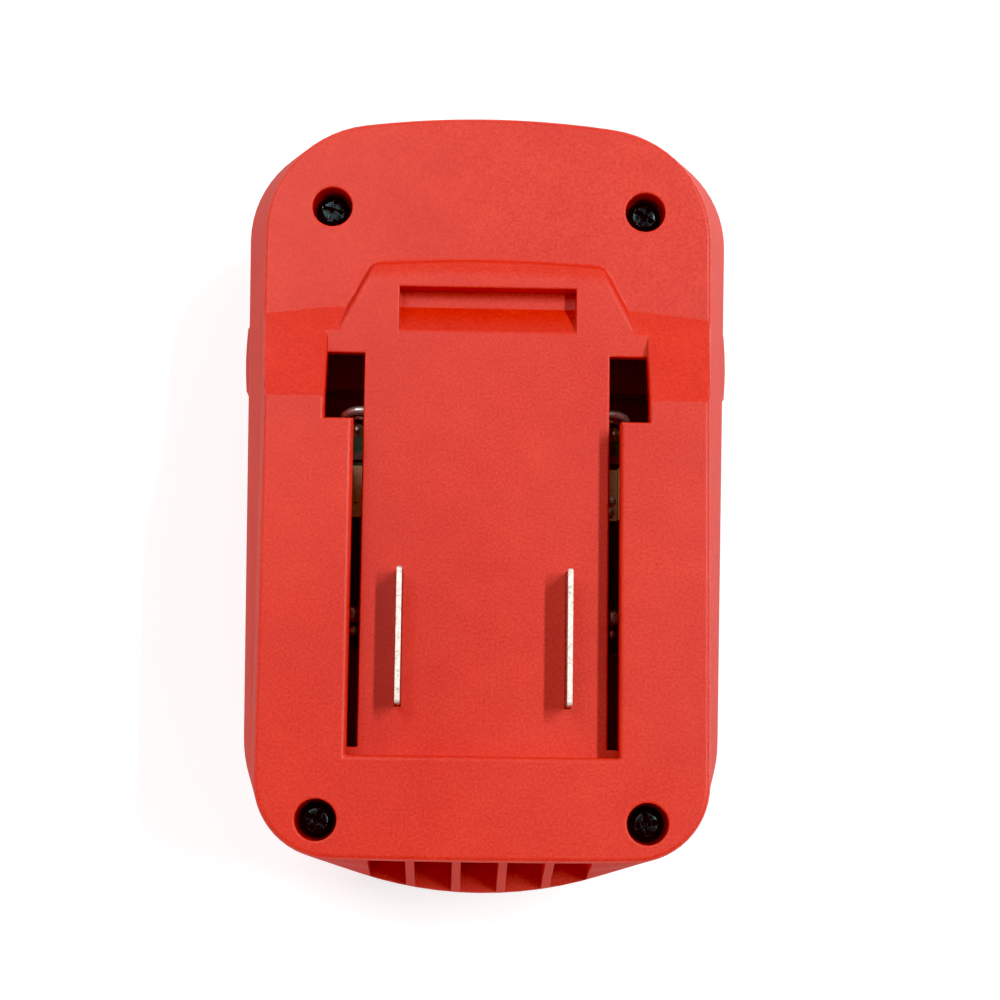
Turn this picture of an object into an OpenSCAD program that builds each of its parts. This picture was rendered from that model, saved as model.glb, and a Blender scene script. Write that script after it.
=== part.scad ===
// Slide-on tool battery adapter.
// +Z points out of the battery-side face, +Y towards the latch pocket end,
// the part rests on its tool-side rail face at z = 0.

/* [Case] */
// Height from the tool-side rail face to the battery-side deck
case_h = 44; // [43:0.5:47]
// Height of the parting line between the two shells
part_z = 28; // [27.5:0.25:28.5]
// Depth of the upper deck below the battery-side deck
upper_drop = 8.25; // [8:0.05:8.5]
// Depth of the rail plate below the battery-side deck
plate_drop = 6; // [5.8:0.05:6.2]
// Width of the battery-side deck
deck_w = 70.1; // [69.6:0.1:71]
// Width of the upper deck
upper_w = 72.5; // [72:0.1:73]
// Width of the case at the parting line
waist_w = 78.4; // [77.8:0.1:79]
// Half of the overall length
half_len = 62.75; // [62.5:0.05:63]
// Edge rounding of the decks
edge_r = 0.8; // [0.4:0.1:1]

/* [Battery side] */
// Gap between the two flanges that hold the battery rails
flange_gap = 41.9; // [41.4:0.1:42.4]
// Width of the rail channel under the flanges
channel_w = 50.9; // [50.5:0.1:51.3]
// Thickness of the flanges
flange_t = 2.8; // [2.4:0.1:3.2]
// Width of the raised plate
plate_w = 39.2; // [38.8:0.1:39.6]
// Thickness of the raised plate
plate_t = 2.5; // [2.2:0.1:2.6]
// Closed end of the rail channel
channel_end = -41.5; // [-42:0.1:-41]
// Front edge of the flanges
flange_front = 10.9; // [10:0.1:12]
// Top edge of the open floor beside the plate
floor_end = 22.5; // [22:0.1:23]
// Width of the latch pocket
pocket_w = 28.3; // [27:0.1:29]
// Depth of the latch pocket
pocket_d = 3.3; // [3:0.1:3.6]
// Distance between the blades
blade_gap = 26.6; // [26:0.1:27]
// Blade thickness
blade_t = 0.8; // [0.75:0.05:0.95]
// Blade length
blade_len = 21.5; // [20:0.5:22]

/* [Fasteners] */
// Spacing of the case screws across the width
screw_dx = 50.8; // [50.4:0.1:51.2]
// Row of case screws on the upper deck
screw_y_up = 47.1; // [46.6:0.1:47.4]
// Row of case screws on the battery-side deck
screw_y_lo = -51.5; // [-51.7:0.1:-51.3]
// Counterbore diameter for the screw heads
bore_d = 6.4; // [6.2:0.1:6.6]
// Screw head diameter
head_d = 5.6; // [5.2:0.1:5.8]
// Depth of the screw heads below the decks
head_sink = 2.6; // [2:0.1:3]

/* [Tool side] */
// Height of the rail lips
lip_h = 4; // [3.6:0.1:4]
// Height of the whole rail platform
rail_h = 9; // [9:0.1:9.4]
// Width across the rail lips
lip_w = 54; // [53:0.5:55]
// Width of the neck between the grooves
neck_w = 44; // [43.6:0.1:44.2]
// Distance between neighbouring contact slots
slot_pitch = 7.35; // [7.2:0.05:7.4]

/* [Release buttons] */
// Inward travel of each release button
button_travel = 3; // [2.5:0.1:3.2]
// Distance across the two button faces
button_span = 79.7; // [79.4:0.1:80]
// Middle of the buttons along the length
button_y = 24; // [23.8:0.1:24.2]

/* [Hidden] */
$fn = 64;
upper_z = case_h - upper_drop;
plate_z = case_h - plate_drop;
collar_h = plate_z - upper_z;
flange_z = case_h - flange_t;
flange_x = flange_gap / 2;
chan_x = channel_w / 2;
plate_x = plate_w / 2;
screw_x = screw_dx / 2;
blade_x = blade_gap / 2;
blade_y0 = -33.7;
blade_y1 = blade_y0 + blade_len;
seat_up = upper_z - head_sink - 2.2;
seat_lo = case_h - head_sink - 2.2;
floor_z = 11.5;
board_z = 24;
board_t = 1.6;
board_top = board_z + board_t;
ramp_y0 = 14.2;
slot_y0 = channel_end + 1.4;
blade_r = 0.55 * blade_t;
crease_r = 250;
crease_y = 31.8;
ramp_k = 1.98;
// the crease is straight behind the collar, so the ramp is one plane at the mouth
crease_flat = crease_y - 1.2;
ramp_a = atan(upper_drop / (crease_flat - ramp_y0));
// the rail passages widen under the rim of the mouth
wall_x = chan_x + 1.4;
spring_z = 9.5;
spring_r = 2.7;
spring_x0 = 1.7;
spring_x1 = 15.1;

RED = [0.83, 0.16, 0.12];
DARK = [0.09, 0.09, 0.1];
NICKEL = [0.78, 0.77, 0.74];
COPPER = [0.8, 0.5, 0.32];
BRASS = [0.82, 0.66, 0.32];

// ---- outlines -------------------------------------------------------------
function arcp(c, r, a0, a1, n) =
    [for (i = [0:n]) let (a = a0 + (a1 - a0) * i / n) c + r * [cos(a), sin(a)]];

// rounded end: both corners and the shallow arc between them
function top_pts(hw, yt, R, r) =
    let (cx = hw - r, by = yt - R, cy = by + sqrt(pow(R - r, 2) - cx * cx), t = atan2(cy - by, cx))
    concat(arcp([cx, cy], r, 0, t, 14),
        [for (i = [1:19]) let (a = t + (180 - 2 * t) * i / 20) [R * cos(a), by + R * sin(a)]],
        arcp([-cx, cy], r, 180 - t, 180, 14));

// the same rounded end, turned towards -Y
function low_arc_pts(hw, yb, R, r) = [for (p = top_pts(hw, -yb, R, r)) -p];

// deck, upper deck and parting-line outlines, each drawn in by d
function deck_pts(d) =
    concat(low_arc_pts(deck_w / 2 - d, -57.6 + d, 1500 - d, 12 - d), top_pts(deck_w / 2 - d, 62.2 - d, 150 - d, 18.5 - d));
function upper_pts(d) =
    concat(low_arc_pts(upper_w / 2 - d, -60.15 + d, 130 - d, 15 - d), top_pts(upper_w / 2 - d, 62.4 - d, 150 - d, 18.5 - d));
function waist_pts(d) =
    let (R = 64 - d, r = 21 - d, cx = waist_w / 2 - 1.1 - 21, by = -half_len + 64,
        cy = by - sqrt(pow(43, 2) - cx * cx), t = atan2(cy - by, cx))
    concat(arcp([-cx, cy], r, 180, 180 - t, 14),
        [for (i = [1:15]) let (a = 180 - t + (2 * t + 180) * i / 16) [R * cos(a), by + R * sin(a)]],
        arcp([cx, cy], r, t, 0, 14),
        top_pts(waist_w / 2 - d, half_len - d, 150 - d, 17.5 - d));

module slab(z, pts) { translate([0, 0, z]) linear_extrude(0.01) polygon(pts); }

module cut_slab(z, pts, y) {
    translate([0, 0, z]) linear_extrude(0.01) intersection() {
        polygon(pts);
        translate([-60, y - 200]) square([120, 200]);
    }
}

module crease_slab(z, pts) {
    translate([0, 0, z]) linear_extrude(0.01) intersection() {
        polygon(pts);
        translate([0, crease_y - crease_r]) circle(crease_r, $fn = 360);
        translate([-60, crease_flat - 200]) square([120, 200]);
    }
}

// collar outline, drawn in by i at the sides and by f at the front
function collar_pts(i, f) =
    let (d = f - i, xb = 25.2 - i / 0.88,
        half = concat([[xb, 23], [xb, 25.6]], arcp([17.45 + 0.54 * d, 35.9 - d], 1.9 - i, 28.4, 85.5, 5)),
        xe = half[len(half) - 1][0])
    concat(half, [for (k = [1:9]) let (x = xe * (1 - k / 5)) [x, 38.45 - f - x * x / 430]],
        [for (k = [len(half) - 1:-1:0]) [-half[k][0], half[k][1]]]);

// edge rounding steps: height below the edge and draw-in
function step_z(i) = edge_r * (1 - sin(i * 18));
function step_d(i) = edge_r * (1 - cos(i * 18));

module box(x0, x1, y0, y1, z0, z1) { translate([x0, y0, z0]) cube([x1 - x0, y1 - y0, z1 - z0]); }

module both() { children(); mirror([1, 0, 0]) children(); }

// rounding cutters for edges under a level face: the edge lies at (0, 0), the solid below and on the -u side
module round_profile(r) {
    polygon(concat([for (i = [0:6]) [-r + r * cos(90 - 15 * i), -r + r * sin(90 - 15 * i)]], [[0.03, -r], [0.03, 0.03], [-r, 0.03]]));
}
// edge along Y, the solid on the -X side (s = 1) or on the +X side (s = -1)
module round_y(x, y0, y1, z, r, s) {
    translate([x, y1, z]) rotate([90, 0, 0]) linear_extrude(y1 - y0)
        if (s > 0) round_profile(r); else mirror([1, 0]) round_profile(r);
}
// edge along X, the solid on the -Y side (s = 1) or on the +Y side (s = -1)
module round_x(x0, x1, y, z, r, s) {
    translate([x0, y, z]) rotate([90, 0, 90]) linear_extrude(x1 - x0)
        if (s > 0) round_profile(r); else mirror([1, 0]) round_profile(r);
}
// rim of a round hole
module round_rim(rad, z, r) {
    translate([0, 0, z]) rotate_extrude() translate([rad, 0]) mirror([1, 0]) round_profile(r);
}

module xz_pin(x0, x1, y, z, r) { translate([x0, y, z]) rotate([0, 90, 0]) cylinder(r = r, h = x1 - x0); }

// ---- battery-side shell ---------------------------------------------------
module shell_blank() {
    // flared body up to the upper deck
    hull() {
        slab(part_z, waist_pts(0));
        for (i = [0:5]) slab(upper_z - step_z(i) - 0.01, upper_pts(step_d(i)));
    }
    // frame with its ramp
    hull() {
        crease_slab(upper_z - edge_r - 0.05, upper_pts(0));
        for (i = [0:5]) crease_slab(upper_z - step_z(i) - 0.01, upper_pts(step_d(i)));
        for (i = [0:5]) cut_slab(case_h - step_z(i) - 0.01, deck_pts(step_d(i)), ramp_y0 + step_z(i) * ramp_k);
    }
    // collar round the latch pocket: steep sides, a broad domed front
    hull() {
        for (c = [[0, 0, 0], [0.5, 0.13, 0.09], [0.9, 0.235, 0.3], [1.3, 0.35, 0.69], [1.65, 0.47, 1.23],
                [1.93, 0.64, 1.92], [2.13, 0.9, 2.78], [2.25, 1.28, 3.92]])
            slab(upper_z + c[0] * collar_h / 2.25 - 0.01, collar_pts(c[1], c[2]));
    }
    // its flared foot
    hull() { slab(upper_z - 0.2, collar_pts(-0.925, -0.925)); slab(upper_z + 0.3, collar_pts(0.14, 0.14)); }
    hull() { slab(upper_z - 0.2, collar_pts(-0.44, -0.44)); slab(upper_z + 0.8, collar_pts(0.36, 0.36)); }
}

// roundings of the battery-side openings
module shell_roundings() {
    big = 0.8;
    // flange edges and the closed end of the channel, mitred in the corners
    both() round_y(flange_x, channel_end, flange_front + 0.05, case_h, big, -1);
    round_x(-flange_x, flange_x, channel_end, case_h, big, 1);
    both() intersection() {
        round_y(flange_x, channel_end - big, channel_end, case_h, big, -1);
        round_x(flange_x, flange_x + big, channel_end, case_h, big, 1);
    }
    // front edges of the flanges and the sides of the mouth
    both() {
        round_x(flange_x - 0.05, chan_x, flange_front, case_h, 0.5, 1);
        round_y(chan_x, flange_front, ramp_y0 + 0.4, case_h, 0.7, -1);
        intersection() {
            round_x(chan_x, chan_x + 0.7, flange_front, case_h, 0.5, 1);
            round_y(chan_x, flange_front - 0.5, flange_front, case_h, 0.7, -1);
        }
        intersection() {
            translate([0, ramp_y0, case_h]) rotate([-ramp_a, 0, 0]) round_y(chan_x, -0.27, 14, 0, 0.65, -1);
            box(chan_x - 1, chan_x + 2, ramp_y0 - 1, ramp_y0 + 14, plate_z, case_h + 1);
        }
    }
    // plate edges and the upper edges of the windows
    both() {
        round_y(plate_x, slot_y0, floor_end, plate_z, 0.3, 1);
        round_x(plate_x, chan_x - 0.02, floor_end, plate_z, 0.3, -1);
        intersection() {
            round_y(plate_x, floor_end, floor_end + 0.3, plate_z, 0.3, 1);
            round_x(plate_x - 0.3, plate_x, floor_end, plate_z, 0.3, -1);
        }
        round_x(plate_x, chan_x - 0.02, slot_y0, plate_z, 0.25, 1);
    }
    // latch pocket
    both() round_y(pocket_w / 2, 26.4, 33.5, plate_z, 0.28, -1);
    round_x(-pocket_w / 2, pocket_w / 2, 33.5, plate_z, 0.28, -1);
    both() intersection() {
        round_y(pocket_w / 2, 33.5, 33.78, plate_z, 0.28, -1);
        round_x(pocket_w / 2, pocket_w / 2 + 0.28, 33.5, plate_z, 0.28, -1);
    }
    // rims of the counterbores
    both() translate([screw_x, screw_y_up, 0]) round_rim(bore_d / 2, upper_z, 0.3);
    both() translate([screw_x, screw_y_lo, 0]) round_rim(bore_d / 2, case_h, 0.3);
}

module shell_cavities() {
    // under the upper deck
    intersection() {
        translate([0, 0, part_z - 1]) linear_extrude(upper_z - 2.4 - part_z + 1) polygon(upper_pts(3.3));
        box(-50, 50, floor_end + 2, 80, 0, 60);
    }
    // side chambers between the channel walls and the outer walls
    both() intersection() {
        box(wall_x + 1.8, 32.8, -43, 12, part_z - 1, case_h - 2.6);
        translate([0, 0, part_z - 1]) linear_extrude(30) polygon(deck_pts(2.2));
    }
    both() box(wall_x + 1.8, 32.8, 11.9, floor_end + 2.1, part_z - 1, upper_z - 2.4);
    // wider step at the parting line
    intersection() {
        translate([0, 0, part_z - 1]) linear_extrude(3.2) polygon(waist_pts(3.2));
        difference() {
            box(-50, 50, -40, 80, 0, 60);
            box(-wall_x - 1.8, wall_x + 1.8, -60, floor_end + 2, 0, 60);
        }
    }
    // under the plate
    box(-plate_x - 0.1, plate_x + 0.1, channel_end, floor_end, part_z - 1, plate_z - plate_t);
    // end bar
    box(-20, 20, -53.8, channel_end - 2.2, part_z - 1, case_h - 2.6);
}

module battery_side_shell() color(RED) difference() {
    union() {
        difference() { shell_blank(); shell_cavities(); }
        // block behind the latch pocket
        box(-16.4, 16.4, 24, 35.6, plate_z - pocket_d - 1.8, upper_z - 1);
        // upper screw bosses
        both() translate([screw_x, screw_y_up, part_z]) cylinder(d = 9.6, h = 6);
    }
    // channel opening between the flanges, and its wide mouth
    box(-flange_x, flange_x, channel_end, ramp_y0 + 13, plate_z, case_h + 5);
    box(-chan_x, chan_x, flange_front, ramp_y0 + 13, plate_z, case_h + 5);
    // open floor and lip passages beside the plate
    both() box(plate_x, chan_x, slot_y0, floor_end, part_z - 2, flange_z);
    both() box(plate_x, chan_x, channel_end, slot_y0 + 0.1, plate_z, flange_z);
    both() box(plate_x, wall_x - 0.01, floor_end - 0.1, floor_end + 3.2, part_z - 2, plate_z - 1.6);
    both() translate([chan_x - 0.01, 0, 0]) rotate([90, 0, 90]) linear_extrude(wall_x - chan_x)
        polygon([[channel_end, part_z - 2], [floor_end, part_z - 2], [floor_end, flange_z - (floor_end - ramp_y0) / ramp_k],
            [ramp_y0, flange_z], [channel_end, flange_z]]);
    // latch pocket: steep locking wall, floor and lead-out slope
    translate([-pocket_w / 2, 0, 0]) rotate([90, 0, 90]) linear_extrude(pocket_w)
        polygon([[33.5, plate_z + 1], [33.5, plate_z - pocket_d], [30.9, plate_z - pocket_d], [26.68, plate_z - 0.39],
            [26.44, plate_z - 0.17], [26.16, plate_z - 0.05], [25.86, plate_z], [25.86, plate_z + 1]]);
    // counterbores and clearance holes
    both() {
        translate([screw_x, screw_y_up, seat_up]) cylinder(d = bore_d, h = 20);
        translate([screw_x, screw_y_up, part_z - 1]) cylinder(d = 3.4, h = 10);
        translate([screw_x, screw_y_lo, seat_lo]) cylinder(d = bore_d, h = 20);
        translate([screw_x, screw_y_lo, part_z - 1]) cylinder(d = 3.4, h = 14);
        translate([screw_x, screw_y_lo, part_z - 1]) cylinder(r = 3.5, h = seat_lo - 2.9 - part_z + 1);
    }
    // slots for the blades
    both() box(blade_x - blade_t / 2 - 0.06, blade_x + blade_t / 2 + 0.06, blade_y0 - 0.06, blade_y1 + 0.06, plate_z - 5, plate_z + 1);
    // recesses in the end wall
    for (i = [-2:2]) box(i * 7.15 - 3.1, i * 7.15 + 2.7, -80, -56.2, part_z + 0.45, case_h - 0.87);
    shell_roundings();
}

// ---- tool-side shell ------------------------------------------------------
module rail_plan(hw, y0, y1, c) {
    polygon([[-hw + c, y0], [hw - c, y0], [hw, y0 + c], [hw, y1 - c], [hw - c, y1], [-hw + c, y1], [-hw, y1 - c], [-hw, y0 + c]]);
}

module boss(x, y, h, r) { translate([x, y, floor_z - 1]) cylinder(r = r, h = h - floor_z + 1); }

module tool_side_shell() color(RED) difference() {
    union() {
        difference() {
            union() {
                hull() {
                    slab(part_z - 0.01, waist_pts(0));
                    slab(19, waist_pts(0.35));
                    slab(13.5, waist_pts(1.1));
                    slab(rail_h + 1.6, waist_pts(2.5));
                    slab(rail_h, waist_pts(4.8));
                }
                linear_extrude(rail_h + 1) rail_plan(neck_w / 2, -58, 46, 3);
                translate([0, 0, 0.5]) linear_extrude(lip_h - 1) rail_plan(lip_w / 2, -58, 46, 3);
                hull() {
                    linear_extrude(0.01) rail_plan(lip_w / 2 - 0.5, -57.5, 45.5, 3);
                    translate([0, 0, 0.49]) linear_extrude(0.02) rail_plan(lip_w / 2, -58, 46, 3);
                }
                hull() {
                    translate([0, 0, lip_h - 0.51]) linear_extrude(0.02) rail_plan(lip_w / 2, -58, 46, 3);
                    translate([0, 0, lip_h - 0.01]) linear_extrude(0.01) rail_plan(lip_w / 2 - 0.5, -57.5, 45.5, 3);
                }
            }
            translate([0, 0, floor_z]) linear_extrude(30) polygon(waist_pts(3.2));
            // hollow of the rail platform
            box(-19.5, 19.5, -33, 38, 2.4, floor_z + 1);
            // seat of the contact block
            box(-18.8, 18.8, -57.9, -36.8, -1, floor_z + 1);
            box(-18.8, 18.8, -70, -57.8, -1, rail_h + 1.05);
        }
        // screw bosses
        both() boss(screw_x, screw_y_up, part_z, 3.6);
        both() boss(screw_x, screw_y_lo, seat_lo - 3, 3.2);
        // board rests and posts
        both() boss(21.5, -21, board_z, 2);
        both() boss(19.8, 12.6, board_z, 2);
        translate([0, 13, 2]) cylinder(r = 3, h = board_z - 2);
        translate([0, -20, 2]) cylinder(r = 3, h = board_z - 2);
        // button guides and the spring seat between the buttons
        both() box(27, 30.4, button_y - 4.6, button_y - 3.85, floor_z - 0.5, 19);
        both() box(27, 30.4, button_y + 3.85, button_y + 4.6, floor_z - 0.5, 19);
        box(-1.5, 1.5, button_y - 4, button_y + 4, 2, 15);
        xz_pin(-4, 4, button_y, spring_z, 1.6);
    }
    // pilot holes for the case screws and board screws
    both() translate([screw_x, screw_y_up, seat_up - 17]) cylinder(r = 1.5, h = 40);
    both() translate([screw_x, screw_y_lo, seat_lo - 17]) cylinder(r = 1.5, h = 40);
    translate([0, 13, board_z - 9]) cylinder(r = 1.1, h = 20);
    translate([0, -20, board_z - 9]) cylinder(r = 1.1, h = 20);
    // button windows and latch tooth windows
    both() box(33, 50, button_y - 6, button_y + 6, 13, 25);
    both() box(19, neck_w / 2 + 0.2, button_y - 3.4, button_y + 3.4, lip_h + 0.4, rail_h - 0.4);
    // lightening grooves in the rail face
    for (s = [-1, 0, 1]) box(s * 13 - 4.5, s * 13 + 4.5, -31, 41, -1, 0.8);
}

// ---- fasteners ------------------------------------------------------------
module cross_recess(z, r, d) {
    translate([0, 0, z - d]) for (a = [45, 135]) rotate([0, 0, a]) translate([-r, -0.42, 0]) cube([2 * r, 0.84, d + 1]);
    translate([0, 0, z - d - 0.5]) cylinder(r = 0.75, h = d + 1);
}

module pan_screw(z_seat, head, head_h, shank, len, slot) {
    difference() {
        union() {
            translate([0, 0, z_seat]) rotate_extrude()
                polygon([[0, 0], [head / 2, 0], [head / 2, head_h * 0.55], [head / 2 - 0.35, head_h * 0.8],
                    [head / 2 - 1, head_h * 0.97], [head / 2 - 1.6, head_h], [0, head_h]]);
            translate([0, 0, z_seat - len]) cylinder(d = shank, h = len);
        }
        cross_recess(z_seat + head_h, slot, 1.1);
    }
}

module case_screws() color([0.06, 0.06, 0.065])
    for (s = [[-1, 1, 28], [1, 1, 12], [-1, -1, 18], [1, -1, 55]])
        translate([s[0] * screw_x, s[1] > 0 ? screw_y_up : screw_y_lo, 0]) rotate([0, 0, s[2]])
            pan_screw(s[1] > 0 ? seat_up : seat_lo, head_d, 2.2, 2.9, 16, 1.75);

module board_screws() color([0.6, 0.6, 0.6]) for (y = [13, -20])
    translate([0, y, 0]) pan_screw(board_top, 4.2, 1.5, 2.1, 8, 1.2);

// ---- contacts of the battery side ----------------------------------------
module blade() intersection() {
    // both ends rounded in plan
    translate([blade_x, 0, 0]) linear_extrude(case_h + 5)
        polygon(concat(arcp([0, blade_y1 - blade_r], blade_r, 18, 162, 8), arcp([0, blade_y0 + blade_r], blade_r, 198, 342, 8)));
    // blade standing above the plate, and its tail down to the copper strip
    translate([blade_x - blade_t / 2, 0, 0]) rotate([90, 0, 90]) linear_extrude(blade_t)
        polygon(concat(
            arcp([blade_y1 - 0.7, case_h - 0.7], 0.7, 0, 90, 6),
            arcp([blade_y0 + 0.7, case_h - 0.7], 0.7, 90, 180, 6),
            [[blade_y0, plate_z - 6.5], [blade_y1 - 4, plate_z - 6.5], [blade_y1 - 4, board_top + 0.6],
                [blade_y1 - 1, board_top + 0.6], [blade_y1 - 1, plate_z - 6.5], [blade_y1, plate_z - 6.5]]));
}

module positive_blade() color(NICKEL) blade();
module negative_blade() color(NICKEL) mirror([1, 0, 0]) blade();

module blade_holder() color(DARK) difference() {
    union() {
        box(-17, 17, -35.6, -10.4, plate_z - 8, plate_z - plate_t);
        both() box(blade_x - 2.2, blade_x + 2.2, -37.4, -8.6, plate_z - 8, plate_z - 4);
    }
    both() box(blade_x - blade_t / 2 - 0.03, blade_x + blade_t / 2 + 0.03, blade_y0 - 0.03, blade_y1 + 0.03, plate_z - 6.53, plate_z);
    both() box(blade_x - blade_t / 2 - 0.03, blade_x + blade_t / 2 + 0.03, blade_y1 - 4.03, blade_y1 - 0.97, plate_z - 10, plate_z);
    box(-9.5, 9.5, -32, -14, plate_z - 9, plate_z - 4.5);
}

// ---- circuit board --------------------------------------------------------
module circuit_board() color([0.07, 0.2, 0.12]) difference() {
    translate([0, 0, board_z]) linear_extrude(board_t) difference() {
        translate([-24.2, -23.5]) square([48.4, 39.2]);
        both() translate([24.2, -23.5]) circle(1.6);
        both() translate([22, 14.2]) square(5);
        translate([0, 13]) circle(1.3);
        translate([0, -20]) circle(1.3);
    }
}

module power_transistors() color(DARK) for (x = [-8.5, 8.5]) translate([x, 4, board_top]) {
    box(-3.3, 3.3, -3, 3.1, 0.15, 2.4);
    box(-2.7, 2.7, 2.9, 4.3, 0, 0.55);
    for (i = [-1, 1]) box(i * 2.28 - 0.35, i * 2.28 + 0.35, -5.8, -2.9, 0, 0.55);
}

module controller_chip() color(DARK) translate([0, -6, board_top]) {
    box(-1.95, 1.95, -2.5, 2.5, 0.15, 1.6);
    both() for (i = [0:3]) box(1.8, 3, -2.1 + i * 1.27, -1.7 + i * 1.27, 0, 0.5);
}

module filter_capacitor() color([0.12, 0.13, 0.2]) translate([0, 5, board_top]) rotate_extrude()
    polygon([[0, 0], [4, 0], [4, 0.9], [3.75, 1.1], [3.75, 1.5], [4, 1.7], [4, 8], [3.6, 8.4], [0, 8.4]]);

module chip_components() color([0.5, 0.42, 0.32])
    for (p = [[-21.1, 7.8], [21.1, 7.8], [-15, 10], [-15, 6.6], [-15, 3.2], [15, 10], [15, 6.6], [15, 3.2], [-5.5, -9], [5.5, -9], [-5.5, -12], [5.5, -12], [0, -12.5], [-6, 11], [6, 11]])
        translate([p[0], p[1], board_top]) box(-1, 1, -0.62, 0.62, 0, 0.65);

module copper_strip() {
    translate([0, 0, board_top]) linear_extrude(0.6)
        polygon([[17.2, 6.2], [22.6, 6.2], [22.6, -2.3], [18, -2.3], [15.4, -11.6], [15.4, -17.6], [12, -17.6], [12, -11], [16, 0]]);
    // upturned edge beside the slot
    box(21.8, 22.6, -2.3, 6.2, board_top + 0.6, board_top + 2.4);
}
module positive_copper_strip() color(COPPER) copper_strip();
module negative_copper_strip() color(COPPER) mirror([1, 0, 0]) copper_strip();

// tinned links bowing over the board at its upper edge
module link(p, r) { tube([for (i = [0:16]) bez(p, i / 16)], r, 12, [0.1, 1, 0.15]); }
module wire_links() color(NICKEL) both() {
    link([[23.3, 13.2, board_top + 0.01], [23.9, 15.8, board_top + 4.3], [17.2, 14.9, board_top + 4.4], [16.6, 14.3, board_top + 0.01]], 0.72);
    link([[21.8, 13.9, board_top + 0.01], [22.3, 14.3, board_top + 2.6], [18.6, 13.9, board_top + 2.6], [18.4, 13.5, board_top + 0.01]], 0.36);
}

module solder_cone(x, y, r, h) {
    translate([x, y, board_top]) rotate_extrude()
        polygon([[0, 0], [r, 0], [r * 0.72, h * 0.25], [r * 0.45, h * 0.6], [r * 0.3, h * 0.92], [r * 0.12, h], [0, h]]);
}
module solder_lump(x, y, z, r, h) {
    translate([x, y, z]) rotate_extrude()
        polygon([[0, 0], [r, 0], [r * 0.95, h * 0.35], [r * 0.77, h * 0.68], [r * 0.42, h * 0.92], [0, h]]);
}
module solder_joints() color([0.72, 0.68, 0.6]) {
    both() {
        solder_cone(21.1, 12.2, 1.2, 1.5);
        solder_lump(21.1, -18.2, board_top, 1.35, 1.5);
        solder_lump(21, -20.9, board_top, 0.75, 0.7);
    }
    // lumps on the positive strip
    solder_lump(20.9, 1, board_top + 0.61, 0.8, 0.7);
    solder_lump(20.5, -0.9, board_top + 0.61, 0.9, 0.8);
}

// ---- contacts of the tool side -------------------------------------------
module contact_block() color(DARK) difference() {
    union() {
        linear_extrude(floor_z) difference() {
            translate([-18.5, -57.6]) square([37, 20.5]);
            both() translate([18.5, -57.6]) rotate([0, 0, 45]) square(1.6, center = true);
        }
        box(-20.6, 20.6, -55.5, -35.2, floor_z, floor_z + 1.6);
    }
    for (i = [-2:2]) translate([i * slot_pitch, 0, 0]) {
        // entry slit with its lead-in, and the contact chamber behind it
        box(-0.9, 0.9, -60, -54, -1, 8.4);
        translate([0, -57.6, -1]) linear_extrude(9.4) polygon([[-2.1, -1], [2.1, -1], [2.1, 0], [0.9, 1.4], [-0.9, 1.4], [-2.1, 0]]);
        box(-1.9, 1.9, -54.5, -40.2, -1, 8.4);
        box(-0.6, 0.6, -42.6, -40.2, 8, floor_z + 3);
    }
}

// spring receptacle: two bowed leaves joined at the back, with a tail up through the block
module receptacle(h) {
    translate([0, 0, 1]) linear_extrude(h) {
        polygon([[-1.8, -53.6], [-1.3, -53.6], [-0.55, -50], [-0.55, -48.6], [-1.2, -43.4], [-1.2, -42],
            [1.2, -42], [1.2, -43.4], [0.55, -48.6], [0.55, -50], [1.3, -53.6], [1.8, -53.6],
            [1.05, -50], [1.05, -48.6], [1.7, -43.4], [1.7, -41.3], [-1.7, -41.3], [-1.7, -43.4], [-1.05, -48.6], [-1.05, -50]]);
    }
    box(-0.5, 0.5, -42.4, -41.6, 7, floor_z + 4.6);
}
module positive_contact() color(BRASS) translate([2 * slot_pitch, 0, 0]) receptacle(7);
module negative_contact() color(BRASS) translate([-2 * slot_pitch, 0, 0]) receptacle(7);
module signal_contacts() color(BRASS) for (i = [-1:1]) translate([i * slot_pitch, 0, 0]) receptacle(6.2);

// ---- leads ----------------------------------------------------------------
function unit(v) = v / norm(v);
function bez(p, t) = pow(1 - t, 3) * p[0] + 3 * t * pow(1 - t, 2) * p[1] + 3 * t * t * (1 - t) * p[2] + t * t * t * p[3];
module tube(path, r, sides, side = [1, 0.2, 0.1]) {
    n = len(path);
    // both ends stand upright on what they meet
    tan = [for (i = [0:n - 1]) i == 0 ? [0, 0, sign(path[1][2] - path[0][2])]
        : i == n - 1 ? [0, 0, sign(path[n - 1][2] - path[n - 2][2])] : unit(path[i + 1] - path[i - 1])];
    pts = [for (i = [0:n - 1]) let (u = unit(cross(tan[i], side)), v = cross(tan[i], u))
            for (k = [0:sides - 1]) path[i] + r * (cos(360 * k / sides) * u + sin(360 * k / sides) * v)];
    polyhedron(pts, concat(
        [[for (k = [0:sides - 1]) k]],
        [for (i = [0:n - 2], k = [0:sides - 1]) let (a = i * sides, k2 = (k + 1) % sides)
            [a + k, a + sides + k, a + sides + k2, a + k2]],
        [[for (k = [sides - 1:-1:0]) (n - 1) * sides + k]]), convexity = 4);
}
module lead(x) {
    p = [[x, -41.9, floor_z + 4.7], [x, -41.9, floor_z + 11], [x, -21.2, floor_z + 3], [x, -21.2, board_z - 0.05]];
    tube([for (i = [0:24]) bez(p, i / 24)], 1.3, 12);
}
module positive_lead() color([0.72, 0.08, 0.06]) lead(2 * slot_pitch);
module negative_lead() color([0.08, 0.08, 0.08]) lead(-2 * slot_pitch);
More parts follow.
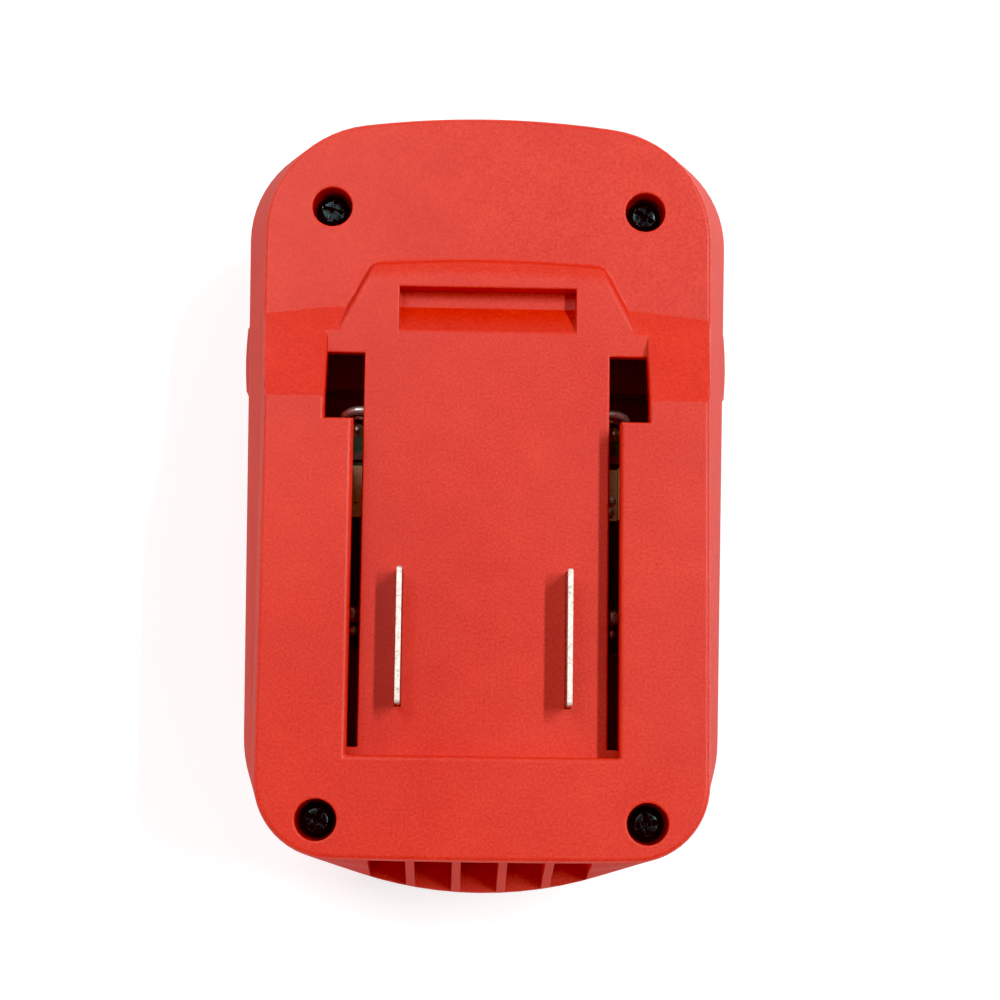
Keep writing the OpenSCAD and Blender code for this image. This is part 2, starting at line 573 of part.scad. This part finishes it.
module signal_wires() color([0.55, 0.55, 0.58]) for (i = [-1:1]) {
    x = i * slot_pitch;
    e = i < 0 ? -8.2 : 5 + 4.4 * i;
    p = [[x, -41.9, floor_z + 4.7], [x, -41.9, floor_z + 9], [e, -22.3, floor_z + 4], [e, -22.3, board_z - 0.05]];
    tube([for (j = [0:20]) bez(p, j / 20)], 0.7, 10);
}

// ---- release buttons ------------------------------------------------------
module release_button() {
    f = button_span / 2;
    // thumb face with level grip grooves
    difference() {
        translate([0, 0, 13.35]) linear_extrude(11.3) polygon(concat(
            [[35.1, button_y - 5.65], [f - 0.6, button_y - 5.65]],
            [for (i = [0:12]) let (t = i / 12) [f - 0.25 + 0.25 * sin(180 * t), button_y - 5.3 + 10.6 * t]],
            [[f - 0.6, button_y + 5.65], [35.1, button_y + 5.65]]));
        for (i = [-1.5:1.5]) translate([f + 0.25, button_y + 10, 19 + i * 2]) rotate([90, 0, 0]) cylinder(r = 0.6, h = 20);
        // softened upper and lower edges
        for (z = [13.35, 24.65]) translate([f, button_y, z]) rotate([0, 45, 0]) cube([1.1, 20, 1.1], center = true);
    }
    // flange behind the case wall
    box(34, 35.35, button_y - 7, button_y + 7, 12.2, 26.2);
    // stem, leg with its spring pin, and the latch tooth
    box(16, 34.2, button_y - 3.5, button_y + 3.5, 14, 19);
    box(15.3, 19.2, button_y - 3.5, button_y + 3.5, lip_h + 0.8, 19);
    xz_pin(12.8, 15.5, button_y, spring_z, 1.6);
    translate([0, 0, lip_h + 0.8]) linear_extrude(rail_h - lip_h - 1.6)
        polygon([[18, button_y - 3], [21.6, button_y - 3], [24.6, button_y + 1.2], [24.6, button_y + 3], [18, button_y + 3]]);
}
module right_release_button() color(RED) release_button();
module left_release_button() color(RED) mirror([1, 0, 0]) release_button();

module coil(x0, x1, r, w, turns) {
    n = turns * 14;
    sides = 8;
    pitch = (x1 - x0 - 2 * w) / n;
    lead_a = atan2(pitch * 14, 2 * PI * r);
    pts = [for (i = [0:n]) let (a = 360 * i / 14, c = [x0 + w + pitch * i, button_y + r * cos(a), spring_z + r * sin(a)],
            u = [0, cos(a), sin(a)], v = [cos(lead_a), sin(lead_a) * sin(a), -sin(lead_a) * cos(a)])
            for (k = [0:sides - 1]) c + w * (cos(360 * k / sides) * u + sin(360 * k / sides) * v)];
    polyhedron(pts, concat(
        [[for (k = [0:sides - 1]) k]],
        [for (i = [0:n - 1], k = [0:sides - 1]) let (a = i * sides, k2 = (k + 1) % sides)
            [a + k, a + sides + k, a + sides + k2, a + k2]],
        [[for (k = [sides - 1:-1:0]) n * sides + k]]), convexity = 8);
}
module right_button_spring() color([0.7, 0.7, 0.72]) coil(spring_x0, spring_x1, spring_r, 0.35, 6);
module left_button_spring() color([0.7, 0.7, 0.72]) mirror([1, 0, 0]) coil(spring_x0, spring_x1, spring_r, 0.35, 6);

battery_side_shell();
tool_side_shell();
case_screws();
positive_blade();
negative_blade();
blade_holder();
circuit_board();
power_transistors();
controller_chip();
filter_capacitor();
chip_components();
positive_copper_strip();
negative_copper_strip();
wire_links();
solder_joints();
board_screws();
contact_block();
positive_contact();
negative_contact();
signal_contacts();
positive_lead();
negative_lead();
signal_wires();
right_release_button();
left_release_button();
right_button_spring();
left_button_spring();
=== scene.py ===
import math

import bmesh
import bpy
import numpy as np
from mathutils import Matrix, Vector, noise


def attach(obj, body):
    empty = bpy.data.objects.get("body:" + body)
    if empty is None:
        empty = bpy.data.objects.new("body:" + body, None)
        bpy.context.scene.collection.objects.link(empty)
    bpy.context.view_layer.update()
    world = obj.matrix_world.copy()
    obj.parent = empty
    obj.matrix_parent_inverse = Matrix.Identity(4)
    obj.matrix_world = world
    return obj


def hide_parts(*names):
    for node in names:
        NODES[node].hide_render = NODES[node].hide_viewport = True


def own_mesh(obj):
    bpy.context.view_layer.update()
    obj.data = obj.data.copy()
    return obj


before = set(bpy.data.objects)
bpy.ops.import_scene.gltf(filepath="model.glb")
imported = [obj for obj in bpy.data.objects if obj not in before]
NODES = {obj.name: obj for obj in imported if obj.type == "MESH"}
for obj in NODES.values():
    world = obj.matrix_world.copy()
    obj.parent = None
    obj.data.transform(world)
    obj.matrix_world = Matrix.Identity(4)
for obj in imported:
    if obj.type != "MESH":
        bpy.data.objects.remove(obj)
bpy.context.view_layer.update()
scene = bpy.context.scene
MM = 0.001


# ---------------------------------------------------------------- materials
class Mat:
    """A node material around one Principled shader, with textures in the part's own frame."""

    def __init__(self, name):
        self.m = bpy.data.materials.new(name)
        self.m.use_nodes = True
        self.t = self.m.node_tree
        self.t.nodes.clear()
        self.out = self.add("ShaderNodeOutputMaterial")
        self.b = self.add("ShaderNodeBsdfPrincipled")
        self.t.links.new(self.b.outputs[0], self.out.inputs["Surface"])
        self.co = self.add("ShaderNodeTexCoord").outputs["Object"]

    def add(self, kind, **props):
        n = self.t.nodes.new(kind)
        for k, v in props.items():
            setattr(n, k, v)
        return n

    def put(self, socket, value):
        if isinstance(value, bpy.types.NodeSocket):
            self.t.links.new(value, socket)
        else:
            socket.default_value = value

    def set(self, **values):
        names = {"color": "Base Color", "rough": "Roughness", "metal": "Metallic", "ior": "IOR", "normal": "Normal",
                 "spec": "Specular IOR Level", "coat": "Coat Weight", "coat_rough": "Coat Roughness",
                 "sheen": "Sheen Weight", "sheen_rough": "Sheen Roughness", "sss": "Subsurface Weight",
                 "sss_scale": "Subsurface Scale", "aniso": "Anisotropic"}
        for k, v in values.items():
            self.put(self.b.inputs[names[k]], v)
        return self

    def noise(self, scale, detail=2.0, rough=0.5, distortion=0.0, vec=None):
        n = self.add("ShaderNodeTexNoise")
        self.put(n.inputs["Vector"], vec or self.co)
        n.inputs["Scale"].default_value = scale
        n.inputs["Detail"].default_value = detail
        n.inputs["Roughness"].default_value = rough
        n.inputs["Distortion"].default_value = distortion
        return n.outputs["Fac"]

    def voronoi(self, scale, feature="F1", vec=None, randomness=1.0):
        n = self.add("ShaderNodeTexVoronoi", feature=feature)
        self.put(n.inputs["Vector"], vec or self.co)
        n.inputs["Scale"].default_value = scale
        n.inputs["Randomness"].default_value = randomness
        return n.outputs["Distance"]

    def stretch(self, x, y, z, turn=(0, 0, 0)):
        n = self.add("ShaderNodeMapping")
        self.put(n.inputs["Vector"], self.co)
        n.inputs["Scale"].default_value = (x, y, z)
        n.inputs["Rotation"].default_value = [math.radians(a) for a in turn]
        return n.outputs[0]

    def math(self, op, a, b=0.5, c=None, clamp=False):
        n = self.add("ShaderNodeMath", operation=op, use_clamp=clamp)
        self.put(n.inputs[0], a)
        self.put(n.inputs[1], b)
        if c is not None:
            self.put(n.inputs[2], c)
        return n.outputs[0]

    def span(self, fac, lo, hi, to_lo=0.0, to_hi=1.0, smooth=False):
        n = self.add("ShaderNodeMapRange", clamp=True)
        n.interpolation_type = "SMOOTHSTEP" if smooth else "LINEAR"
        self.put(n.inputs[0], fac)
        for i, v in enumerate((lo, hi, to_lo, to_hi)):
            n.inputs[i + 1].default_value = v
        return n.outputs[0]

    def ramp(self, fac, *stops):
        n = self.add("ShaderNodeValToRGB")
        self.put(n.inputs[0], fac)
        e = n.color_ramp.elements
        while len(e) < len(stops):
            e.new(0.5)
        for k, (pos, col) in zip(e, stops):
            k.position = pos
            k.color = (*col, 1.0) if len(col) == 3 else col
        return n.outputs[0]

    def mix(self, fac, a, b, blend="MIX"):
        n = self.add("ShaderNodeMix", data_type="RGBA", blend_type=blend)
        self.put(n.inputs[0], fac)
        self.put(n.inputs[6], a if isinstance(a, bpy.types.NodeSocket) else (*a, 1.0))
        self.put(n.inputs[7], b if isinstance(b, bpy.types.NodeSocket) else (*b, 1.0))
        return n.outputs[2]

    def bump(self, height, strength, distance, normal=None):
        n = self.add("ShaderNodeBump")
        n.inputs["Strength"].default_value = strength
        n.inputs["Distance"].default_value = distance
        self.put(n.inputs["Height"], height)
        if normal is not None:
            self.put(n.inputs["Normal"], normal)
        return n.outputs[0]

    def xyz(self, normal=False):
        n = self.add("ShaderNodeSeparateXYZ")
        self.put(n.inputs[0], self.add("ShaderNodeTexCoord").outputs["Normal"] if normal else self.co)
        return n.outputs

    def edges(self, radius, samples=4, lo=0.995, hi=0.86):
        """(mask that is 1 on convex and concave edges, softened normal)"""
        bevel = self.add("ShaderNodeBevel", samples=samples)
        bevel.inputs["Radius"].default_value = radius
        dot = self.add("ShaderNodeVectorMath", operation="DOT_PRODUCT")
        self.put(dot.inputs[0], bevel.outputs[0])
        self.put(dot.inputs[1], self.add("ShaderNodeNewGeometry").outputs["Normal"])
        return self.span(dot.outputs["Value"], lo, hi), bevel.outputs[0]


def red_plastic(name, dark, mid, light, grain=1.0, gloss=0.0):
    """Moulded red plastic: spark-eroded grain, faint flow marks, and a painted highlight that makes edges and
    creases a lighter red.
    """
    m = Mat(name)
    edge, soft = m.edges(0.00030, 4, 0.998, 0.90)
    flow = m.noise(28, 3, 0.55, 0.6)
    cloud = m.noise(190, 3, 0.6)
    fine = m.noise(2500, 2, 0.6)
    pits = m.voronoi(2100, "SMOOTH_F1")
    speck = m.math("MULTIPLY_ADD", fine, 0.56, m.math("MULTIPLY_ADD", flow, 0.28, m.math("MULTIPLY", cloud, 0.16)))
    body = m.ramp(speck, (0.32, dark), (0.50, mid), (0.68, light))
    # painted highlight: edges and creases are painted a lighter, pinker red, as where light catches them
    painted_edge_highlight = m.math("MULTIPLY", edge, m.span(m.noise(420, 3, 0.6), 0.35, 0.75, 0.25, 0.70))
    m.set(color=m.mix(painted_edge_highlight, body, (0.84, 0.125, 0.085)))
    rough = m.math("ADD", m.span(m.noise(70, 4, 0.6), 0.3, 0.7, 0.38 - gloss, 0.46 - gloss),
                   m.span(fine, 0.3, 0.7, -0.05, 0.07))
    m.set(rough=m.math("SUBTRACT", rough, m.math("MULTIPLY", edge, 0.06)), spec=0.40)
    h = m.math("ADD", m.math("MULTIPLY", fine, 0.6), m.math("MULTIPLY", pits, 0.5))
    n = m.bump(h, 0.36 * grain, 0.00004, soft)
    m.set(normal=m.bump(flow, 0.05, 0.002, n), sss=0.0)
    return m.m


RED_CASE = red_plastic("red_case_plastic", (0.515, 0.0085, 0.0010), (0.605, 0.0205, 0.0040), (0.695, 0.0390, 0.0110))
RED_BUTTON = red_plastic("red_button_plastic", (0.480, 0.0075, 0.0010), (0.560, 0.0185, 0.0038), (0.645, 0.0350, 0.0100), 0.7, 0.05)


def black_plastic(name, tone=0.012):
    m = Mat(name)
    edge, soft = m.edges(0.00015)
    fine = m.noise(2600, 3, 0.6)
    cloud = m.noise(140, 3, 0.6)
    body = m.ramp(m.math("MULTIPLY_ADD", fine, 0.5, m.math("MULTIPLY", cloud, 0.5)),
                  (0.3, (tone * 0.6,) * 3), (0.7, (tone * 1.9, tone * 1.9, tone * 2.0)))
    # painted highlight: edges are painted a lighter grey
    m.set(color=m.mix(m.math("MULTIPLY", edge, 0.5), body, (tone * 5, tone * 5, tone * 5.2)))
    m.set(rough=m.span(cloud, 0.3, 0.7, 0.42, 0.6), normal=m.bump(fine, 0.3, 0.00003, soft))
    return m.m


BLACK = black_plastic("black_glass_filled_plastic")
CHIP = black_plastic("chip_moulding", 0.02)


def metal(name, dark, light, rough, streak=None, grain_scale=1800, bump=0.25, edge_glint_tone=None, speck=None, shine=1.0):
    m = Mat(name)
    edge, soft = m.edges(0.00012)
    vec = m.stretch(*streak) if streak else m.co
    a = m.noise(grain_scale, 4, 0.65, 0.2, vec)
    cloud = m.noise(260, 3, 0.6)
    body = m.ramp(m.math("MULTIPLY_ADD", a, 0.55, m.math("MULTIPLY", cloud, 0.45)), (0.32, dark), (0.68, light))
    if speck:
        body = m.mix(m.span(m.noise(1500, 2, 0.7), 0.60, 0.72), body, speck)
    # painted highlight: edges are painted in the lighter edge tone, or else the light colour, as glints
    m.set(color=m.mix(m.math("MULTIPLY", edge, 0.5), body, edge_glint_tone or light), metal=shine)
    m.set(rough=m.span(a, 0.25, 0.75, rough - 0.09, rough + 0.12), normal=m.bump(a, bump, 0.00003, soft))
    return m.m


NICKEL = metal("nickel_strip", (0.52, 0.49, 0.45), (0.80, 0.77, 0.71), 0.34, (1, 12, 1), 700)
# black oxide screws: the pale last colour is a painted glint along the edges
SCREW = metal("black_oxide_steel", (0.004, 0.012, 0.013), (0.022, 0.036, 0.038), 0.24, None, 1500, 0.3, (0.20, 0.24, 0.25))
PLAIN = metal("zinc_plated_steel", (0.44, 0.44, 0.43), (0.70, 0.70, 0.68), 0.30)
TIN = metal("tinned_wire", (0.80, 0.78, 0.75), (0.96, 0.94, 0.91), 0.32, None, 900, 0.35, shine=0.6)
SOLDER = metal("solder", (0.68, 0.61, 0.50), (0.95, 0.89, 0.78), 0.36, None, 700, 0.5, shine=0.5)
# copper strip: the pale edge colour (0.95, 0.82, 0.68) is a painted highlight along the edges
COPPER = metal("copper_strip", (0.64, 0.35, 0.19), (0.92, 0.60, 0.39), 0.42, (1, 9, 1), 800, 0.25, (0.95, 0.82, 0.68), (0.34, 0.19, 0.12), shine=0.5)
BRASS = metal("spring_brass", (0.52, 0.36, 0.13), (0.80, 0.62, 0.28), 0.28, (1, 6, 1), 900, 0.2)
SPRING = metal("spring_wire", (0.34, 0.34, 0.35), (0.62, 0.62, 0.63), 0.26)


def sheared_edge(name):
    """Nickel blade: smooth rolled sides, a torn and speckled sheared edge on top."""
    m = Mat(name)
    edge, soft = m.edges(0.0001)
    roll = m.noise(650, 4, 0.6, 0.1, m.stretch(1, 1, 9))
    tear = m.noise(1900, 4, 0.72, 0.3, m.stretch(1.0, 1.0, 0.4))
    big = m.noise(520, 3, 0.6)
    side = m.ramp(roll, (0.3, (0.46, 0.43, 0.39)), (0.7, (0.74, 0.71, 0.66)))
    torn = m.ramp(m.math("MULTIPLY_ADD", tear, 0.7, m.math("MULTIPLY", big, 0.3)),
                  (0.34, (0.28, 0.19, 0.14)), (0.46, (0.70, 0.63, 0.56)), (0.70, (0.90, 0.86, 0.80)))
    top = m.span(m.xyz()[2], 0.04335, 0.04385)
    m.set(color=m.mix(top, side, torn), metal=m.span(m.math("MULTIPLY", top, tear), 0.1, 0.5, 1.0, 0.55))
    m.set(rough=m.math("ADD", m.span(top, 0.0, 1.0, 0.27, 0.46), m.span(tear, 0.3, 0.7, -0.06, 0.1)))
    m.set(normal=m.bump(m.math("MULTIPLY_ADD", tear, m.span(top, 0, 1, 0.15, 1.0), m.math("MULTIPLY", roll, 0.2)), 0.5, 0.00006, soft))
    return m.m


BLADE = sheared_edge("nickel_blade")


def board_material():
    m = Mat("green_solder_mask")
    edge, soft = m.edges(0.0001)
    co = m.xyz()
    weave = m.noise(1400, 2, 0.5)
    # traces: wide pours split by thin gaps, running along and across the board
    lanes = m.math("PINGPONG", m.math("ADD", co[0], m.math("MULTIPLY", m.span(m.math("SINE", m.math("MULTIPLY", co[1], 260.0)), -0.2, 0.2, -1, 1), 0.0006)), 0.0023)
    cross = m.math("PINGPONG", m.math("ADD", co[1], m.math("MULTIPLY", m.noise(90, 0, 0.5), 0.004)), 0.0046)
    gap = m.math("MAXIMUM", m.span(lanes, 0.00018, 0.00026, 1, 0), m.span(cross, 0.00016, 0.00024, 1, 0))
    mask = m.ramp(weave, (0.3, (0.008, 0.060, 0.030)), (0.7, (0.014, 0.095, 0.048)))
    trace = m.ramp(weave, (0.3, (0.014, 0.120, 0.060)), (0.7, (0.022, 0.175, 0.088)))
    m.set(color=m.mix(gap, trace, mask), rough=m.span(weave, 0.3, 0.7, 0.38, 0.52), spec=0.3)
    m.set(normal=m.bump(m.math("SUBTRACT", m.math("MULTIPLY", weave, 0.15), gap), 0.35, 0.00004, soft))
    return m.m


BOARD = board_material()


def sleeve(name, dark, light, rough):
    m = Mat(name)
    fine = m.noise(1100, 3, 0.6)
    ridge = m.noise(420, 2, 0.5, 0, m.stretch(1, 1, 0.2))
    m.set(color=m.ramp(m.math("MULTIPLY_ADD", fine, 0.5, m.math("MULTIPLY", ridge, 0.5)), (0.3, dark), (0.7, light)))
    m.set(rough=m.span(ridge, 0.3, 0.7, rough - 0.06, rough + 0.1), normal=m.bump(fine, 0.25, 0.00004))
    return m.m


CAP = sleeve("capacitor_sleeve", (0.010, 0.012, 0.030), (0.030, 0.034, 0.075), 0.30)
CERAMIC = sleeve("chip_ceramic", (0.10, 0.055, 0.060), (0.22, 0.125, 0.13), 0.45)
WIRE_RED = sleeve("red_insulation", (0.38, 0.006, 0.004), (0.58, 0.014, 0.009), 0.42)
WIRE_BLACK = sleeve("black_insulation", (0.008, 0.008, 0.008), (0.022, 0.022, 0.023), 0.40)
WIRE_GREY = sleeve("grey_insulation", (0.24, 0.24, 0.25), (0.40, 0.40, 0.42), 0.45)


# ---------------------------------------------------------------- CAD nodes with finer shading
def dress(ob, *mats):
    ob.data.materials.clear()
    for k in mats:
        ob.data.materials.append(k)


def link(name, me, body, *mats):
    ob = bpy.data.objects.new(name, me)
    scene.collection.objects.link(ob)
    dress(ob, *mats)
    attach(ob, body)
    return ob


def shade(bm, sharp):
    for f in bm.faces:
        f.smooth = True
    for e in bm.edges:
        e.smooth = len(e.link_faces) == 2 and e.calc_face_angle(0.0) < math.radians(sharp)


def even_normals(bm):
    """A normal for each face corner: within a smooth fan, the larger flat area rules."""
    bm.normal_update()
    bm.faces.index_update()
    size = [f.calc_area() for f in bm.faces]
    label = [-1] * len(size)
    flats = []
    for seed in sorted(bm.faces, key=lambda f: -size[f.index]):
        if label[seed.index] >= 0:
            continue
        label[seed.index] = len(flats)
        n0, total, stack = seed.normal.copy(), 0.0, [seed]
        while stack:
            f = stack.pop()
            total += size[f.index]
            for e in f.edges:
                if e.smooth:
                    for g in e.link_faces:
                        if label[g.index] < 0 and g.normal.dot(n0) > 0.99997:
                            label[g.index] = label[seed.index]
                            stack.append(g)
        flats.append((n0, total))
    corner = {}
    for v in bm.verts:
        left = set(v.link_faces)
        while left:
            f = left.pop()
            fan, stack = [f], [f]
            while stack:
                for e in stack.pop().edges:
                    if e.smooth and v in e.verts:
                        for g in e.link_faces:
                            if g in left:
                                left.remove(g)
                                fan.append(g)
                                stack.append(g)
            n = Vector((0, 0, 0))
            for k in sorted({label[g.index] for g in fan}):
                n += flats[k][0] * flats[k][1]
            n = n.normalized() if n.length > 0 else f.normal.copy()
            for g in fan:
                corner[(g.index, v.index)] = n
    return [corner[(f.index, c.vert.index)] for f in bm.faces for c in f.loops]


def split_long(bm, longest):
    """Halves long edges until none is longer, so that shading blends only close to the roundings."""
    for _ in range(12):
        far = [e for e in bm.edges if e.calc_length() > longest]
        if not far:
            break
        bmesh.ops.subdivide_edges(bm, edges=far, cuts=1, use_grid_fill=False)
        bmesh.ops.triangulate(bm, faces=[f for f in bm.faces if len(f.verts) > 3], quad_method="SHORT_EDGE", ngon_method="BEAUTY")


def refined(node, name, body, mat, sharp=26.0, merge=0.012 * MM, longest=None):
    """A copy of a node with its seams welded and its roundings shaded smooth, standing in for it."""
    bm = bmesh.new()
    bm.from_mesh(NODES[node].data)
    bmesh.ops.remove_doubles(bm, verts=bm.verts, dist=merge)
    bmesh.ops.dissolve_degenerate(bm, dist=1e-7, edges=bm.edges)
    if longest:
        split_long(bm, longest * MM)
    shade(bm, sharp)
    bm.verts.index_update()
    even = even_normals(bm)
    me = bpy.data.meshes.new(name)
    bm.to_mesh(me)
    bm.free()
    me.normals_split_custom_set(even)
    ob = link(name, me, body, mat)
    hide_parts(node)
    return ob


refined("battery_side_shell", "battery_side_cover", "case", RED_CASE, longest=2.0)
refined("tool_side_shell", "tool_side_case", "case", RED_CASE, longest=3.0)
refined("right_release_button", "right_thumb_button", "right_button", RED_BUTTON, longest=2.0)
refined("left_release_button", "left_thumb_button", "left_button", RED_BUTTON, longest=2.0)
refined("case_screws", "case_screw_set", "case", SCREW, 30)
refined("positive_blade", "positive_terminal_blade", "case", BLADE)
refined("negative_blade", "negative_terminal_blade", "case", BLADE)
refined("blade_holder", "terminal_holder", "case", BLACK)
refined("circuit_board", "printed_board", "case", BOARD)
refined("power_transistors", "transistor_pair", "case", CHIP)
refined("controller_chip", "small_outline_chip", "case", CHIP)
refined("filter_capacitor", "can_capacitor", "case", CAP)
refined("chip_components", "ceramic_chips", "case", CERAMIC)
refined("positive_copper_strip", "positive_strip", "case", COPPER)
refined("negative_copper_strip", "negative_strip", "case", COPPER)
refined("wire_links", "tinned_links", "case", TIN, 35)
refined("solder_joints", "solder_cones", "case", SOLDER, 60)
refined("board_screws", "board_screw_pair", "case", PLAIN, 30)
refined("contact_block", "contact_carrier", "case", BLACK)
refined("positive_contact", "positive_spring_contact", "case", BRASS, 40)
refined("negative_contact", "negative_spring_contact", "case", BRASS, 40)
refined("signal_contacts", "signal_spring_contacts", "case", BRASS, 40)
refined("positive_lead", "positive_wire", "case", WIRE_RED, 50)
refined("negative_lead", "negative_wire", "case", WIRE_BLACK, 50)
refined("signal_wires", "signal_wire_set", "case", WIRE_GREY, 50)


# ---------------------------------------------------------------- coil springs for the buttons
def coil(name, side, node):
    x0, x1, r, w, turns = 1.7, 15.1, 2.7, 0.35, 6.0
    per, sides = 36, 10
    n = int(turns * per)
    bm = bmesh.new()
    rings = []
    for i in range(n + 1):
        t = i / n
        # the end turns lie close, the middle turns open out
        s = t - 0.085 * math.sin(2 * math.pi * t) / (2 * math.pi) * 2.6
        a = 2 * math.pi * turns * t
        c = Vector((x0 + w + (x1 - x0 - 2 * w) * s, 24 + r * math.cos(a), 9.5 + r * math.sin(a)))
        u = Vector((0, math.cos(a), math.sin(a)))
        pitch = math.atan2((x1 - x0) / turns, 2 * math.pi * r)
        v = Vector((math.cos(pitch), math.sin(pitch) * math.sin(a), -math.sin(pitch) * math.cos(a)))
        ring = []
        for k in range(sides):
            q = c + w * (math.cos(2 * math.pi * k / sides) * u + math.sin(2 * math.pi * k / sides) * v)
            ring.append(bm.verts.new((side * q.x * MM, q.y * MM, q.z * MM)))
        rings.append(ring)
    for a, b in zip(rings, rings[1:]):
        for k in range(sides):
            bm.faces.new((a[k], a[(k + 1) % sides], b[(k + 1) % sides], b[k]))
    bm.faces.new(rings[0])
    bm.faces.new(list(reversed(rings[-1])))
    bmesh.ops.recalc_face_normals(bm, faces=bm.faces)
    shade(bm, 50)
    me = bpy.data.meshes.new(name)
    bm.to_mesh(me)
    bm.free()
    ob = link(name, me, "case", SPRING)
    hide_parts(node)
    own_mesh(ob)
    return ob


coil("right_coil_spring", 1, "right_button_spring")
coil("left_coil_spring", -1, "left_button_spring")


# ---------------------------------------------------------------- stage, light, camera
def floor():
    m = Mat("pale_floor")
    a = m.noise(6, 3, 0.5)
    m.set(color=m.ramp(a, (0.3, (0.50, 0.50, 0.50)), (0.7, (0.54, 0.54, 0.54))), rough=m.span(a, 0.3, 0.7, 0.6, 0.7), spec=0.2)
    # a lit backdrop: the sheet glows a little, as over a light table
    m.b.inputs["Emission Color"].default_value = (1, 1, 1, 1)
    m.b.inputs["Emission Strength"].default_value = 0.67
    me = bpy.data.meshes.new("floor")
    s = 3.0
    me.from_pydata([(-s, -s, 0), (s, -s, 0), (s, s, 0), (-s, s, 0)], [], [(0, 1, 2, 3)])
    ob = bpy.data.objects.new("floor", me)
    ob.location.z = -0.00005
    scene.collection.objects.link(ob)
    dress(ob, m.m)
    # kept out of the gloss, so that the sides mirror the dim surroundings and not the lit sheet
    ob.visible_glossy = False


floor()


def area(name, at, to, sx, sy, watts, color=(1, 1, 1), spin=0.0):
    d = bpy.data.lights.new(name, "AREA")
    d.shape = "RECTANGLE"
    d.size, d.size_y, d.energy, d.color = sx, sy, watts, color
    ob = bpy.data.objects.new(name, d)
    scene.collection.objects.link(ob)
    ob.location = at
    q = (Vector(to) - Vector(at)).to_track_quat("-Z", "Y")
    ob.rotation_mode = "QUATERNION"
    ob.rotation_quaternion = q @ Matrix.Rotation(math.radians(spin), 4, "Z").to_quaternion()
    return ob


target = Vector((0, -0.005, 0.04))
key_dir = Vector((0.482, 0.205, 0.853))
# a long tube lying along Y: crisp shadows across, soft ones along the part
area("key_strip", target + key_dir * 2.5, target, 1.3, 0.125, 43.0, spin=-19.9)
area("top_soft", Vector((-0.36, 0.42, 1.20)), target, 0.5, 0.4, 3.2)
area("front_fill", Vector((-0.5, -0.75, 0.3)), target, 0.4, 0.3, 0.8)
# seen only in the gloss: a small card that lights the upper left
area("gloss_card", Vector((-0.17, 0.21, 0.40)), target, 0.12, 0.12, 0.32).visible_diffuse = False
world = bpy.data.worlds.new("studio")
scene.world = world
world.use_nodes = True
wt = world.node_tree
bg = wt.nodes["Background"]
way = wt.nodes.new("ShaderNodeTexCoord")
part = wt.nodes.new("ShaderNodeSeparateXYZ")
wt.links.new(way.outputs["Generated"], part.inputs[0])


def graded(axis, lo, hi, to_lo, to_hi):
    n = wt.nodes.new("ShaderNodeMapRange")
    wt.links.new(part.outputs[axis], n.inputs[0])
    for i, v in enumerate((lo, hi, to_lo, to_hi)):
        n.inputs[i + 1].default_value = v
    return n.outputs[0]


def times(a, b):
    n = wt.nodes.new("ShaderNodeMath")
    n.operation = "MULTIPLY"
    wt.links.new(a, n.inputs[0])
    wt.links.new(b, n.inputs[1])
    return n.outputs[0]


def blend(fac, a, b):
    n = wt.nodes.new("ShaderNodeMix")
    n.data_type = "FLOAT"
    wt.links.new(fac, n.inputs[0])
    wt.links.new(a, n.inputs[2])
    wt.links.new(b, n.inputs[3])
    return n.outputs[0]


# above the horizon: dimmer straight above and on the right, brighter on the far side
sky = times(times(graded("Z", 0.45, 0.95, 0.66, 0.35), graded("Y", -0.7, 0.7, 0.61, 1.14)), graded("X", -0.5, 0.5, 1.16, 0.74))
# below it, where only gloss looks: the floor's shaded patch round the part, and the lit floor beyond
shadow = times(graded("X", -0.6, 0.6, 0.30, 0.52), graded("Y", -0.6, 0.2, 0.25, 1.0))
beyond = times(graded("X", -0.6, 0.6, 1.7, 3.6), graded("Y", -0.9, 0.9, 0.9, 1.1))
ground = blend(graded("Z", -0.70, -0.35, 0.0, 1.0), shadow, beyond)
wt.links.new(blend(graded("Z", -0.15, 0.1, 0.0, 1.0), ground, sky), bg.inputs["Strength"])
bg.inputs["Color"].default_value = (1, 1, 1, 1)

scene.view_settings.view_transform = "Standard"
scene.view_settings.look = "None"
scene.view_settings.exposure = 0.0
scene.view_settings.gamma = 1.0
scene.view_settings.use_curve_mapping = True
scene.view_settings.curve_mapping.black_level = (0.0, 0.010, 0.010)
scene.view_settings.curve_mapping.update()

yaw, pitch, roll = (math.radians(a) for a in (0.97, 7.18, 0.78))
dist, focal, ppx, ppy = 0.330, 2129.0, 485.4, 552.2
back = Vector((-math.sin(yaw) * math.cos(pitch), -math.sin(pitch), math.cos(yaw) * math.cos(pitch)))
right = Vector((0, 1, 0)).cross(back).normalized()
up = back.cross(right)
cx = right * math.cos(roll) + up * math.sin(roll)
cy = up * math.cos(roll) - right * math.sin(roll)
cam = bpy.data.cameras.new("camera")
cam.sensor_fit = "AUTO"
cam.sensor_width = 36.0
cam.lens = focal * 36.0 / 1000.0
cam.shift_x = (500.0 - ppx) / 1000.0
cam.shift_y = (ppy - 500.0) / 1000.0
cam.clip_start, cam.clip_end = 0.01, 20.0
cob = bpy.data.objects.new("camera", cam)
scene.collection.objects.link(cob)
mw = Matrix((cx, cy, back)).transposed().to_4x4()
mw.translation = Vector((0, -0.010, 0.044)) + back * dist
cob.matrix_world = mw
scene.camera = cob
